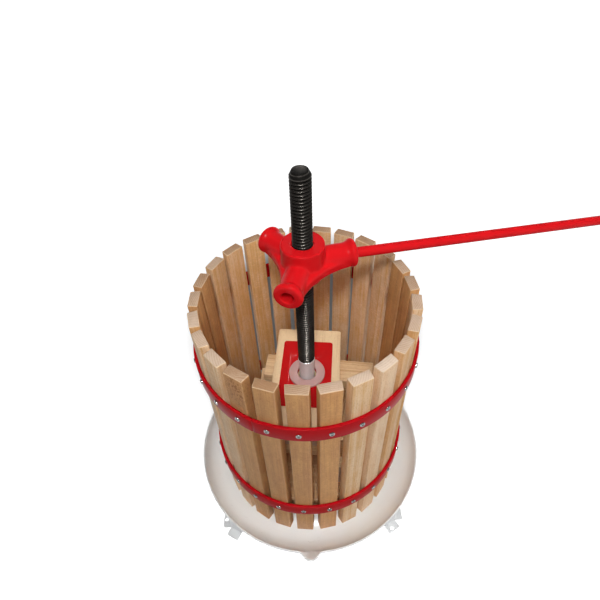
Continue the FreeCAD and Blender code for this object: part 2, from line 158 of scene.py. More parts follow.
class BasketSettings(bpy.types.PropertyGroup):
    """Sizes and colours of the staves, hoops and screws."""
    inner_radius: length("Inner radius", 125.25, "From the axis to the staves' inner faces")
    outer_radius: length("Outer radius", 137.5, "From the axis to the staves' outer faces")
    inner_width: length("Inner width", 26.5, "Width of a stave on the inside")
    outer_width: length("Outer width", 23.9, "Width of a stave on the outside")
    easing: length("Eased edge", 0.8, "Width of the planed edge of a stave")
    bow: length("Bow", 0.35, "How far a stave wanders from straight")
    bow_cuts: count("Bow cuts", 7, "Cuts along a stave that let it wander")
    knot: spot("Knot", (0.002, 0.006, 0.468), "Middle of the knot: across, depth and height")
    hoop_radius: length("Hoop inner radius", 138.05, "From the axis to the hoop's inner face")
    hoop_thickness: length("Hoop thickness", 4.0, "Thickness of the hoop strip")
    hoop_edge: length("Hoop edge", 0.9, "Rounding of the strip's edges")
    hoop_columns: count("Hoop facets", 240, "Facets round the hoop")
    upper_weld: angle("Upper weld", -117.0, "Where the upper hoop's ends meet")
    lower_weld: angle("Lower weld", 98.6, "Where the lower hoop's ends meet")
    weld_gap: angle("Weld", 0.45, "Half the angle that the dressed weld takes up")
    weld_depth: length("Weld depth", 0.35, "How far the weld lies below the strip's faces")
    weld_bulge: length("Weld bulge", 0.6, "How far the strip stands out beside the weld")
    weld_reach: angle("Weld reach", 7.0, "How far round the strip runs straight")
    head_radius: length("Screw head radius", 3.4, "Radius of a domed head")
    head_height: length("Screw head height", 1.9, "Height of a domed head")
    wood_pale: colour("Pale wood", (0.87, 0.655, 0.44), "Palest of the staves")
    wood_tan: colour("Tan wood", (0.70, 0.39, 0.15), "Middle tone of the staves")
    wood_dark: colour("Dark wood", (0.50, 0.245, 0.10), "Darkest of the staves")
    enamel: colour("Hoop enamel", (0.50, 0.006, 0.011), "Red of the hoops")
    zinc: colour("Zinc", (0.38, 0.37, 0.36), "Plating of the screws")


class StackSettings(bpy.types.PropertyGroup):
    """Finish of the wooden pressing stack, its plate and its washer."""
    easing: length("Eased edge", 0.8, "Rounding of the blocks' edges")
    wood_pale: colour("Pale wood", (0.95, 0.74, 0.46), "Palest of the blocks")
    wood_tan: colour("Tan wood", (0.70, 0.46, 0.24), "Middle tone of the blocks")
    wood_dark: colour("Dark wood", (0.52, 0.29, 0.13), "Darkest of the blocks")
    enamel: colour("Plate enamel", (0.64, 0.012, 0.014), "Red of the steel plate")
    plate_edge: length("Plate edge", 0.5, "Rounding of the plate's edges")
    nylon: colour("Nylon", (0.58, 0.37, 0.35), "Milky washer")
    washer_edge: length("Washer edge", 0.3, "Rounding of the washer's edges")


class SpindleSettings(bpy.types.PropertyGroup):
    """Thread, nose and sleeve of the spindle."""
    radius: length("Thread radius", 11.2, "Outside radius of the thread")
    depth: length("Thread depth", 2.0, "From crest to root")
    pitch: length("Pitch", 4.0, "Rise of one turn")
    columns: count("Columns", 48, "Facets round the thread")
    nose: length("Nose height", 5.5, "Height of the tapered nose")
    nose_radius: length("Nose radius", 8.3, "Radius of the flat on the nose")
    plain: length("Plain end", 5.0, "Length at the top with no thread")
    runout: length("Run-out", 3.0, "Length over which the thread fades below the plain end")
    core: length("Core radius", 9.0, "Radius of the smooth rod inside the sleeve")
    black: colour("Black oxide", (0.010, 0.009, 0.008), "Oiled black steel")
    sleeve: colour("Sleeve", (0.78, 0.79, 0.80), "Satin sleeve")
    sleeve_rim: length("Sleeve rim", 1.1, "Radius of the bead round the sleeve's top")


class NutSettings(bpy.types.PropertyGroup):
    """Cast nut and the bar that turns it."""
    voxel: length("Grid", 0.65, "Grain of the rounded casting")
    rounding: count("Rounding", 4, "Passes that take the grain off the whole casting")
    fillet: count("Hollow rounding", 60, "Passes that fill the casting's hollow seams")
    hollow: length("Hollow reach", 3.0, "How far from a seam the filling reaches")
    enamel: colour("Enamel", (0.75, 0.010, 0.014), "Gloss red of the casting and the bar")
    bronze: colour("Bronze", (0.52, 0.33, 0.12), "Threaded bush")
    bush_edge: length("Bush edge", 0.5, "Chamfer of the bush's edges")
    bar_radius: length("Bar radius", 6.0, "Radius of the push bar")
    bar_edge: length("Bar edge", 1.2, "Rounding of the bar's ends")
    bar_columns: count("Bar facets", 48, "Facets round the bar")


class StandSettings(bpy.types.PropertyGroup):
    """Tray, legs and the carrier below."""
    edge: length("Sheet edge", 0.6, "Rounding of the folded sheet's edges")
    powder: colour("Powder coat", (0.91, 0.92, 0.91), "Off-white coat of the tray")
    leg_powder: colour("Leg coat", (0.87, 0.88, 0.88), "Off-white coat of the legs")
    zinc: colour("Zinc", (0.55, 0.55, 0.54), "Plating of the bolts, the washer and the foot nut")
    bolt_edge: length("Bolt edge", 0.3, "Chamfer of the fixings' edges")


class StageSettings(bpy.types.PropertyGroup):
    """Camera, floor and lights."""
    lens: FloatProperty(name="Lens", description="Focal length in millimetres on a 36 mm sensor",
                        default=28.716, unit="CAMERA")
    elevation: angle("Elevation", 45.37, "Camera's downward tilt")
    roll: angle("Roll", -2.57, "Camera's roll")
    place: spot("Camera place", (-0.0053, -0.4007, 0.8918), "Where the camera stands")
    key: power("Key light", 14.0, "Soft box above the front")
    glint: power("Glint light", 36.0, "Lights that only gloss mirrors")
    front: power("Front light", 6.5, "Wide light in front")
    side: power("Side light", 10.0, "Light on the right")
    overhead: power("Overhead light", 11.0, "Wide light above")
    spill: power("Floor light", 26.0, "Light that only the floor catches")
    sky: share("Surroundings", 0.15, "Strength of the soft light from all round")
    paper: share("Floor", 0.80, "Paleness of the floor as the camera sees it")
    # Paleness of the painted shadow on the floor behind the press
    painted_shadow_tone: share("Shaded floor", 0.50, "Paleness of the floor in the shade behind the press")
    bounce: share("Bounce", 0.16, "Share of the light that the floor gives back")


# Shader arithmetic

class Signal:
    """Output of a shader node that takes part in sums and products."""

    def __init__(self, graph, socket):
        self.graph, self.socket = graph, socket

    def __add__(self, other):
        return self.graph.math("ADD", self, other)

    def __sub__(self, other):
        return self.graph.math("SUBTRACT", self, other)

    def __rsub__(self, other):
        return self.graph.math("SUBTRACT", other, self)

    def __mul__(self, other):
        return self.graph.math("MULTIPLY", self, other)

    def __truediv__(self, other):
        return self.graph.math("DIVIDE", self, other)

    def __pow__(self, other):
        return self.graph.math("POWER", self, other)

    __radd__, __rmul__ = __add__, __mul__


class Graph:
    """Nodes of a material or a world."""

    def __init__(self, owner):
        self.owner = owner
        owner.use_nodes = True
        self.tree = owner.node_tree
        self.tree.nodes.clear()

    def feed(self, socket, value):
        if isinstance(value, Signal):
            self.tree.links.new(value.socket, socket)
        elif socket.type == "RGBA":
            socket.default_value = (*value[:3], 1.0)
        else:
            socket.default_value = value

    def node(self, kind, output=0, inputs=None, **settings):
        made = self.tree.nodes.new(kind)
        for key, value in settings.items():
            setattr(made, key, value)
        for key, value in (inputs or {}).items():
            self.feed(made.inputs[key], value)
        return Signal(self, made.outputs[output]) if made.outputs else made

    def math(self, operation, a, b=0.0, clamp=False):
        return self.node("ShaderNodeMath", 0, {0: a, 1: b}, operation=operation, use_clamp=clamp)

    def clamped(self, value):
        return self.math("MULTIPLY", value, 1.0, clamp=True)

    def mix(self, factor, a, b, blend="MIX"):
        return self.node("ShaderNodeMix", 2, {0: factor, 6: a, 7: b}, data_type="RGBA",
                         blend_type=blend)

    def mix_value(self, factor, a, b):
        return self.node("ShaderNodeMix", 0, {0: factor, 2: a, 3: b})

    def tint(self, rgb, tint):
        return self.mix(1.0, rgb, tint, "MULTIPLY")

    def vector(self, operation, a, b):
        return self.node("ShaderNodeVectorMath", 0, {0: a, 1: b}, operation=operation)

    def length(self, vector):
        return self.node("ShaderNodeVectorMath", "Value", {0: vector}, operation="LENGTH")

    def split(self, vector):
        """A vector's three parts."""
        made = self.tree.nodes.new("ShaderNodeSeparateXYZ")
        self.feed(made.inputs[0], vector)
        return [Signal(self, socket) for socket in made.outputs]

    def stored(self, name, output="Fac"):
        """What the mesh stores under a name, or else 0."""
        return self.node("ShaderNodeAttribute", output, attribute_name=name)

    def noise(self, place, scale, detail=2.0, roughness=0.5, distortion=0.0, kind="3D"):
        """Noise with so many features per metre."""
        return self.node("ShaderNodeTexNoise", noise_dimensions=kind, inputs={
            "W" if kind == "1D" else "Vector": place, "Scale": scale, "Detail": detail,
            "Roughness": roughness, "Distortion": distortion})

    def ramp(self, value, low, high):
        """Smooth step, 0 at the low value and 1 at the high one."""
        return self.node("ShaderNodeMapRange", interpolation_type="SMOOTHSTEP", inputs={
            "Value": value, "From Min": low, "From Max": high})

    def here(self):
        return self.node("ShaderNodeTexCoord", "Object")

    def ray(self, kind):
        """1 for rays of one kind, else 0."""
        return self.node("ShaderNodeLightPath", "Is %s Ray" % kind)

    def bump(self, height, strength, distance):
        return self.node("ShaderNodeBump", inputs={
            "Height": height, "Strength": strength, "Distance": distance})

    def finish(self, **inputs):
        shader = self.node("ShaderNodeBsdfPrincipled", inputs={
            key.replace("_", " "): value for key, value in inputs.items()})
        self.node("ShaderNodeOutputMaterial", inputs={"Surface": shader})
        return self.owner


def toned(rgb, factor):
    return [min(1.0, c * factor) for c in rgb]


def wood(name, pale, tan, dark, gloss=0.5, knot=None, figure=1.0):
    """Beech in the piece's grain frame: rings, pores, mottling, pale ends, pale edges of wear and
    painted highlight.
    """
    g = Graph(bpy.data.materials.new(name))
    grain = g.stored("grain", "Vector")
    seed, tone, end = g.stored("seed"), g.stored("tone"), g.stored("end")

    def scaled(part):
        return g.vector("MULTIPLY", grain, GRAIN[part])

    # Growth rings about a pith that lies beside the piece, swept round the knot
    across, depth, _ = g.split(grain)
    wander = g.noise(scaled("wander"), 1.0, 2.0) - 0.5
    pith_x = (seed - 0.5) * 0.12
    pith_y = g.math("FRACT", seed * 7.31) * 0.08 + 0.015
    reach = g.math("SQRT", (across + pith_x) ** 2.0 + (depth + pith_y) ** 2.0) + wander * 0.010
    if knot:
        from_knot = g.vector("MULTIPLY", g.vector("SUBTRACT", grain, knot), (1.0, 0.6, 0.42))
        swirl = g.ramp(0.017 - g.length(from_knot), 0.0, 0.012)
        reach = reach + swirl * 0.012
    rings = g.math("FRACT", reach / RING)
    late = g.ramp(rings, 0.35, 0.95) * g.ramp(1.0 - rings, 0.0, 0.08)
    band = g.noise(reach * 260.0, 1.0, 1.0, kind="1D")

    fibre = g.noise(scaled("fibre"), 1.0, 3.0, 0.6)
    pore = g.ramp(g.noise(scaled("pore"), 1.0, 1.0), 0.57, 0.68)
    streak = g.noise(scaled("streak"), 1.0, 3.0, 0.6)
    ray = g.ramp(g.noise(scaled("ray"), 1.0, 1.0, distortion=0.6), 0.52, 0.66)
    cloud = g.noise(scaled("cloud"), 1.0, 4.0, 0.6)

    # A plainer figure has less mottling and clearer bands and streaks
    bands, streaks = 1.8 - 1.3 * figure, 2.3 - 1.1 * figure
    shade = late * 0.16 + (cloud - 0.5) * 1.1 * figure + (band - 0.5) * bands
    shade = shade + (fibre - 0.5) * 0.5 + (streak - 0.5) * streaks + tone * 1.5 + 0.20
    body = g.mix(g.clamped(shade), pale, tan)
    body = g.mix(g.math("SUBTRACT", shade, 1.0, clamp=True), body, dark)
    body = g.mix(g.math("FRACT", seed * 29.3) * 0.6, body, g.tint(body, PINKER))
    flecked = g.math("FRACT", seed * 5.77)
    body = g.mix(pore * (0.12 + 0.24 * flecked), body, g.tint(body, PORE))
    body = g.mix(ray * figure * (0.85 - 0.65 * flecked), body, g.tint(body, RAY))
    if knot:
        bark = g.ramp(g.noise(scaled("bark"), 1.0, 2.0, 0.6, 1.2), 0.50, 0.58)
        body = g.mix(swirl * (0.22 + 0.75 * bark), body, g.tint(dark, BARK))

    sawn = late * 0.22 + (cloud - 0.5) * 0.45 + pore * 0.12 + g.stored("end_tone") * 1.0
    body = g.mix(end, body, g.mix(g.clamped(sawn), SAWN_PALE, SAWN_DARK))
    # Eased edges turn pale: partly wear, and partly painted highlight where they face upwards
    body = g.mix(g.stored("worn") * (0.30 + 0.35 * cloud), body, EDGE_WEAR_AND_HIGHLIGHT)
    height = fibre * 0.5 + late * 0.2 - pore * 0.6 + cloud * 0.3
    return g.finish(Base_Color=body, Specular_IOR_Level=0.32,
                    Roughness=g.ramp(fibre, 0.1, 0.9) * 0.14 + end * 0.2 + gloss,
                    Normal=g.bump(height, 0.30, 0.00022))


def enamel(name, red, texture=1.0, dull=0.0, gloss=0.14):
    """Gloss paint with orange peel, the casting's own texture and a few dull rubbed patches."""
    g = Graph(bpy.data.materials.new(name))
    p = g.here()
    peel = g.noise(p, 900.0, 2.0)
    cast = g.noise(p, 140.0, 3.0, 0.55)
    patch = g.ramp(g.noise(p, 26.0, 4.0, 0.6), 0.52, 0.74)
    shade = g.mix(g.noise(p, 48.0, 3.0, 0.6), toned(red, 1.06), toned(red, 0.86))
    speck = g.ramp(g.noise(p, 1500.0, 1.0), 0.74, 0.80)
    body = g.mix(speck * 0.25, shade, toned(red, 0.40))
    height = peel * 0.12 + cast * texture * 0.6
    return g.finish(Base_Color=body, Specular_IOR_Level=0.02,
                    Roughness=patch * 0.10 + peel * 0.05 + 0.26 + dull,
                    Coat_Weight=gloss - patch * gloss * 0.4, Coat_Roughness=0.035,
                    Normal=g.bump(height, 0.20, 0.0004))


def powder_coat(name, white):
    """Off-white powder coat: fine orange peel and faint warm handling marks."""
    g = Graph(bpy.data.materials.new(name))
    p = g.here()
    peel = g.noise(p, 620.0, 2.0)
    marks = g.ramp(g.noise(p, 17.0, 4.0, 0.6), 0.48, 0.78)
    scuff = g.ramp(g.noise(g.vector("MULTIPLY", p, (90.0, 420.0, 420.0)), 1.0, 2.0), 0.66, 0.74)
    handled = [c * part for c, part in zip(white, (0.93, 0.91, 0.87))]
    body = g.mix(scuff * 0.12, g.mix(marks * 0.35, white, handled), (0.45, 0.43, 0.40))
    return g.finish(Base_Color=body, Roughness=peel * 0.10 + marks * 0.08 + 0.26,
                    Coat_Weight=0.5, Coat_Roughness=0.06, Normal=g.bump(peel, 0.18, 0.0003))


def metal(name, base, rough, brushed=0.0, metallic=1.0, grime=0.25):
    """Bare or plated metal with turning lines round Z, smudges, painted shade in recesses, and
    bright rims that are partly painted highlight.
    """
    g = Graph(bpy.data.materials.new(name))
    p = g.here()
    smudge = g.noise(p, 55.0, 4.0, 0.6)
    fine = g.noise(g.vector("MULTIPLY", p, (60.0, 60.0, 2600.0)), 1.0, 2.0)
    dirt = g.ramp(g.noise(p, 210.0, 3.0, 0.65), 0.55, 0.80)
    body = g.mix(dirt * grime, base, toned(base, 0.35))
    # Painted shade: marked recesses are darkened nearly to black
    body = g.mix(g.stored("recess"), body, toned(base, 0.06))
    # The marked rim is lighter and more metallic: partly a bright turned edge, partly painted
    # highlight
    rim = g.stored("rim")
    rough = g.mix_value(rim, rough, 0.30)
    return g.finish(Base_Color=g.mix(rim, body, (0.95, 0.95, 0.95)),
                    Metallic=g.mix_value(rim, metallic, 0.4),
                    Roughness=smudge * 0.5 * rough + dirt * 0.5 * rough + rough,
                    Normal=g.bump(fine * brushed + smudge * 0.3, 0.25, 0.0002))


def black_oxide(name, black):
    """Oiled black steel: nearly black, glossy on the crests and dull in the roots."""
    g = Graph(bpy.data.materials.new(name))
    p = g.here()
    crest = g.stored("crest")
    oil = g.noise(p, 80.0, 3.0, 0.6)
    fine = g.noise(p, 1400.0, 2.0)
    worn = g.ramp(g.noise(p, 420.0, 3.0), 0.50, 0.75) * crest
    body = g.mix(crest, g.mix(worn * 0.5, black, toned(black, 4.0)), toned(black, 10.0))
    return g.finish(Base_Color=body, Metallic=crest, Specular_IOR_Level=0.03,
                    Roughness=oil * 0.14 + fine * 0.06 + (1.0 - crest) * 0.20 + 0.14,
                    Normal=g.bump(fine * 0.3 + oil * 0.3, 0.25, 0.0002))


def nylon(name, milky):
    """Milky nylon with turning rings and cloudy depth."""
    g = Graph(bpy.data.materials.new(name))
    p = g.here()
    x, y, _ = g.split(p)
    ring = g.math("SINE", g.math("SQRT", x * x + y * y) * 9000.0) * 0.5 + 0.5
    cloud = g.noise(p, 130.0, 3.0)
    body = g.mix(cloud, milky, toned(milky, 1.18))
    return g.finish(Base_Color=body, Roughness=cloud * 0.10 + 0.16, Subsurface_Weight=0.30,
                    Subsurface_Radius=(0.6, 0.35, 0.3), Subsurface_Scale=0.004,
                    Normal=g.bump(ring * 0.4 + cloud, 0.12, 0.0002))


# Mesh tools

def add_object(name, data):
    """New object with the given data, in the scene."""
    made = bpy.data.objects.new(name, data)
    bpy.context.scene.collection.objects.link(made)
    return made


def place_piece(name, mesh, material, body, nodes, smooth=32.0):
    """Adds a finished mesh, shades it and ties it to the body and nodes that it stands for."""
    piece = add_object(name, mesh)
    mesh.materials.clear()
    mesh.materials.append(material)
    mesh.shade_smooth()
    mesh.set_sharp_from_angle(angle=math.radians(smooth))
    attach(piece, body)
    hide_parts(*nodes)
    return piece


def to_mesh(bm, name):
    """Mesh of a finished bmesh, faces outwards."""
    bmesh.ops.recalc_face_normals(bm, faces=bm.faces)
    if bm.calc_volume(signed=True) < 0.0:
        bmesh.ops.reverse_faces(bm, faces=bm.faces)
    mesh = bpy.data.meshes.new(name)
    bm.to_mesh(mesh)
    bm.free()
    return mesh


def lathe(profile, steps, bm=None):
    """Full turn about Z of (radius, height) points."""
    bm = bm or bmesh.new()
    verts = [bm.verts.new((r, 0.0, z)) for r, z in profile]
    edges = [bm.edges.new(pair) for pair in zip(verts, verts[1:])]
    bmesh.ops.spin(bm, geom=verts + edges, cent=(0, 0, 0), axis=(0, 0, 1), angle=TAU, steps=steps,
                   use_merge=True)
    bmesh.ops.remove_doubles(bm, verts=bm.verts, dist=SAME_POLE)
    return bm


def arc(radius, height, degrees):
    """Points of an arc, outwards at 0 degrees and upwards at 90."""
    turns = [math.radians(d) for d in degrees]
    return [(radius * math.cos(t), height * math.sin(t)) for t in turns]


def joined(node):
    """The node's triangles, joined at their corners."""
    bm = bmesh.new()
    bm.from_mesh(frame["nodes"][node].data)
    bmesh.ops.remove_doubles(bm, verts=bm.verts, dist=SAME_CORNER)
    return bm


def solid_of(node):
    """The node's own solid as a clean cage of flat faces."""
    bm = joined(node)
    bmesh.ops.dissolve_limit(bm, angle_limit=math.radians(0.6), use_dissolve_boundaries=False,
                             verts=bm.verts, edges=bm.edges)
    return bm


def ease(bm, width, segments=2, sharper_than=30.0):
    """Rounds edges sharper than the given angle; marks the rounded strips for wear and painted
    highlight.
    """
    limit = math.radians(sharper_than)
    worn = bm.faces.layers.float.get("worn") or bm.faces.layers.float.new("worn")
    sharp = [e for e in bm.edges if e.is_manifold and e.calc_face_angle(0.0) > limit]
    rounded = bmesh.ops.bevel(bm, geom=sharp, offset=width, offset_type="OFFSET",
                              segments=segments, profile=0.5, affect="EDGES", clamp_overlap=True,
                              material=-1)
    for face in rounded["faces"]:
        face.normal_update()
        # Upward-facing strips take the full mark, partly as painted highlight; the others a
        # quarter, as wear
        face[worn] = 1.0 if face.normal.z > 0.3 else 0.25
    return bm


def mark_grain(mesh, into_grain, index, tone, end_tone):
    """Stores each vertex's place along the grain, the faces that cut the grain, and tones."""
    grain = mesh.attributes.new("grain", "FLOAT_VECTOR", "POINT")
    shift = Vector((0.0, 0.0, FIGURE_STEP * index))
    for v, item in zip(mesh.vertices, grain.data):
        item.vector = into_grain @ v.co + shift
    turn = into_grain.to_3x3()
    end = mesh.attributes.new("end", "FLOAT", "FACE")
    for face, item in zip(mesh.polygons, end.data):
        item.value = 1.0 if abs((turn @ face.normal).z) > 0.8 else 0.0
    seed = 0.618 * (index + 1) % 1.0
    for label, value in (("seed", seed), ("tone", tone), ("end_tone", end_tone)):
        number = mesh.attributes.new(label, "FLOAT", "POINT")
        number.data.foreach_set("value", [value] * len(mesh.vertices))


def mean(points):
    return sum(points, Vector()) / len(points)


def mark_hollows(piece, reach):
    """Weights the vertices near a mesh's hollow creases, fading out over the given reach."""
    bm = bmesh.new()
    bm.from_mesh(piece.data)
    bm.normal_update()
    weights = []
    for v in bm.verts:
        round_about = [e.other_vert(v).co for e in v.link_edges]
        step = sum((c - v.co).length for c in round_about) / len(round_about)
        dip = (mean(round_about) - v.co).dot(v.normal)
        weights.append(1.0 if dip > HOLLOW_DIP * step else 0.0)
    near = [[e.other_vert(v).index for e in v.link_edges] for v in bm.verts]
    step = sum(e.calc_length() for e in bm.edges) / len(bm.edges)
    for _ in range(round(reach / step)):
        weights = [max(w, HOLLOW_FADE * max(weights[i] for i in n)) for w, n in zip(weights, near)]
    bm.free()
    group = piece.vertex_groups.new(name="hollow")
    for i, w in enumerate(weights):
        if w > 0.0:
            group.add([i], w, "REPLACE")


def corners_of(node):
    return [v.co for v in frame["nodes"][node].data.vertices]


def node_angle(node):
    """Azimuth of a node's middle."""
    middle = mean(corners_of(node))
    return math.atan2(middle.y, middle.x)


def staves():
    return sorted(n for n in frame["nodes"] if n.startswith("stave_"))


# Operators, one for each piece or group of like pieces

class BuildStaves(bpy.types.Operator):
    """Planed staves with eased edges, each with its own figure"""
    bl_idname = "press.build_staves"
    bl_label = "Staves"

    def execute(self, context):
        s = context.scene.press_basket
        tones = s.wood_pale, s.wood_tan, s.wood_dark
        finish = wood("beech_stave_finish", *tones)
        knot = s.knot + Vector((0, 0, FIGURE_STEP * KNOTTY_STAVE))
        knotty = wood("knotty_stave_finish", *tones, knot=knot)
        middle = Matrix.Translation((-(s.inner_radius + s.outer_radius) / 2, 0, 0))
        into = Matrix(((0, 1, 0, 0), (1, 0, 0, 0), (0, 0, 1, 0), (0, 0, 0, 1))) @ middle
        for k, node in enumerate(staves()):
            low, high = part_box(node)
            bm = bmesh.new()
            for v in bmesh.ops.create_cube(bm, size=1.0)["verts"]:
                radius, width = ((s.outer_radius, s.outer_width) if v.co.x > 0.0
                                 else (s.inner_radius, s.inner_width))
                v.co = (radius, v.co.y * width, high.z if v.co.z > 0.0 else low.z)
            upright = [e for e in bm.edges if abs(e.verts[0].co.z - e.verts[1].co.z) > 0.1]
            bmesh.ops.subdivide_edges(bm, edges=upright, cuts=s.bow_cuts, use_grid_fill=True)
            ease(bm, s.easing, 2, 40.0)
            for v in bm.verts:
                t = (v.co.z - low.z) / (high.z - low.z)
                v.co.y += s.bow * math.sin(3.1 * t + 2.7 * k) * math.sin(math.pi * t)
            mesh = to_mesh(bm, node)
            # The stave's tones carry painted light and shade as well as the wood's own tone
            mark_grain(mesh, into, k, STAVE_TONES_AND_PAINTED_LIGHT[k], END_TONES_AND_PAINTED_LIGHT[k])
            mesh.transform(Matrix.Rotation(node_angle(node), 4, "Z"))
            place_piece("slat_%02d" % (k + 1), mesh, knotty if k == KNOTTY_STAVE else finish,
                        "basket", [node], 50.0)
        return {"FINISHED"}


class BuildHoops(bpy.types.Operator):
    """Flat strips with rounded edges, bent round and butt welded"""
    bl_idname = "press.build_hoops"
    bl_label = "Hoops"

    def execute(self, context):
        s = context.scene.press_basket
        finish = enamel("hoop_enamel", s.enamel, 0.35, 0.0, 0.04)
        inner, outer = s.hoop_radius, s.hoop_radius + s.hoop_thickness
        for name, weld in (("upper", s.upper_weld), ("lower", s.lower_weld)):
            node = name + "_hoop"
            low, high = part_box(node)

            # The strip's section runs from one side of the weld to the other
            start = Matrix.Rotation(weld + s.weld_gap, 3, "Z")
            bm = bmesh.new()
            corners = [bm.verts.new(start @ Vector((r, 0.0, z))) for r, z in (
                (outer, low.z), (outer, high.z), (inner, high.z), (inner, low.z))]
            section = [bm.edges.new((corners[i], corners[(i + 1) % 4])) for i in range(4)]
            turned = bmesh.ops.spin(bm, geom=corners + section, cent=(0, 0, 0), axis=(0, 0, 1),
                                    angle=TAU - 2 * s.weld_gap, steps=s.hoop_columns)
            last = [e for e in turned["geom_last"] if isinstance(e, bmesh.types.BMEdge)]

            # The weld is dressed a little below the strip's faces
            bridge = bmesh.ops.bridge_loops(bm, edges=section + last)
            across = {e for f in bridge["faces"] for e in f.edges} - set(section) - set(last)
            cut = bmesh.ops.subdivide_edges(bm, edges=list(across), cuts=1)
            heart = Vector(((inner + outer) / 2, 0.0, (low.z + high.z) / 2))
            centre = Matrix.Rotation(weld, 3, "Z") @ heart
            for v in cut["geom_inner"]:
                if isinstance(v, bmesh.types.BMVert):
                    v.co -= s.weld_depth * Vector([
                        math.copysign(1.0, d) if abs(d) > MM / 2 else 0.0 for d in v.co - centre])
            bmesh.ops.recalc_face_normals(bm, faces=bm.faces)
            ease(bm, s.hoop_edge, 3, 60.0)

            # Beside it the strip runs straight, so it stands out
            for v in bm.verts:
                off = (math.atan2(v.co.y, v.co.x) - weld + math.pi) % TAU - math.pi
                bulge = s.weld_bulge * math.exp(-(off / s.weld_reach) ** 2 * 2)
                v.co.xy *= 1.0 + bulge / inner
            place_piece(name + "_band", to_mesh(bm, node), finish, "basket", [node])
        return {"FINISHED"}


class BuildScrews(bpy.types.Operator):
    """Pan heads with a cross recess, turned at random"""
    bl_idname = "press.build_screws"
    bl_label = "Screws"

    def head(self, radius, height):
        """One head that stands on the origin, with its recess marked for painted shade."""
        wall = 0.25 * height
        dome = [(0.0, 0.0), (radius, 0.0), (radius, wall)]
        dome += [(0.62 * radius + r, wall + z)
                 for r, z in arc(0.38 * radius, 0.75 * height, (25, 50, 72, 90))]
        bm = lathe(dome, 20)
        recess = bm.verts.layers.float.new("recess")
        rim = [e for e in bm.edges if e.is_boundary and e.verts[0].co.z > 0.9 * height]

        # A grid with its corner squares taken out is the cross, which joins the open dome
        grid = bmesh.ops.create_grid(bm, x_segments=3, y_segments=3, size=CROSS_REACH)["verts"]
        for v in grid:
            x, y = (math.copysign(CROSS_WIDTH if abs(c) < 0.5 * CROSS_REACH else CROSS_REACH, c)
                    for c in v.co.xy)
            v.co = (x, y, height)
        squares = {f for v in grid for f in v.link_faces}
        corners = [f for f in squares
                   if min(abs(c) for c in f.calc_center_median().xy) > CROSS_WIDTH]
        cross = list(squares.difference(corners))
        bmesh.ops.delete(bm, geom=corners, context="FACES")
        outline = [e for e in {e for f in cross for e in f.edges} if e.is_boundary]
        bmesh.ops.triangle_fill(bm, edges=rim + outline, use_beauty=True, normal=(0, 0, 1))

        pit = bmesh.ops.extrude_face_region(bm, geom=cross)["geom"]
        sunk = [v for v in pit if isinstance(v, bmesh.types.BMVert)]
        # The sunk cross is marked, so that the finish paints shade into it
        for v in sunk:
            v[recess] = 1.0
        bmesh.ops.scale(bm, vec=(CROSS_FOOT, CROSS_FOOT, 1.0), verts=sunk)
        bmesh.ops.translate(bm, vec=(0, 0, -CROSS_DEPTH), verts=sunk)
        bmesh.ops.delete(bm, geom=[f for f in cross if f.is_valid], context="FACES_KEEP_BOUNDARY")
        return to_mesh(bm, "head")

    def execute(self, context):
        s = context.scene.press_basket
        finish = metal("zinc_finish", s.zinc, 0.07, 0.2, 1.0, 0.35)
        head = self.head(s.head_radius, s.head_height)
        seat = s.hoop_radius + s.hoop_thickness
        for name in ("upper", "lower"):
            low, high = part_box(name + "_hoop")
            outwards = (Matrix.Translation((seat, 0, (low.z + high.z) / 2))
                        @ Matrix.Rotation(math.pi / 2, 4, "Y"))
            bm = bmesh.new()
            bm.verts.layers.float.new("recess")
            for k, node in enumerate(staves()):
                place = (Matrix.Rotation(node_angle(node), 4, "Z") @ outwards
                         @ Matrix.Rotation(1.7 * k + low.z * 90, 4, "Z"))
                start = len(bm.verts)
                bm.from_mesh(head)
                bm.verts.ensure_lookup_table()
                bmesh.ops.transform(bm, matrix=place, verts=bm.verts[start:])
            place_piece(name + "_screws", to_mesh(bm, name + "_screws"), finish, "basket",
                        [name + "_hoop_screws"])
        bpy.data.meshes.remove(head)
        return {"FINISHED"}


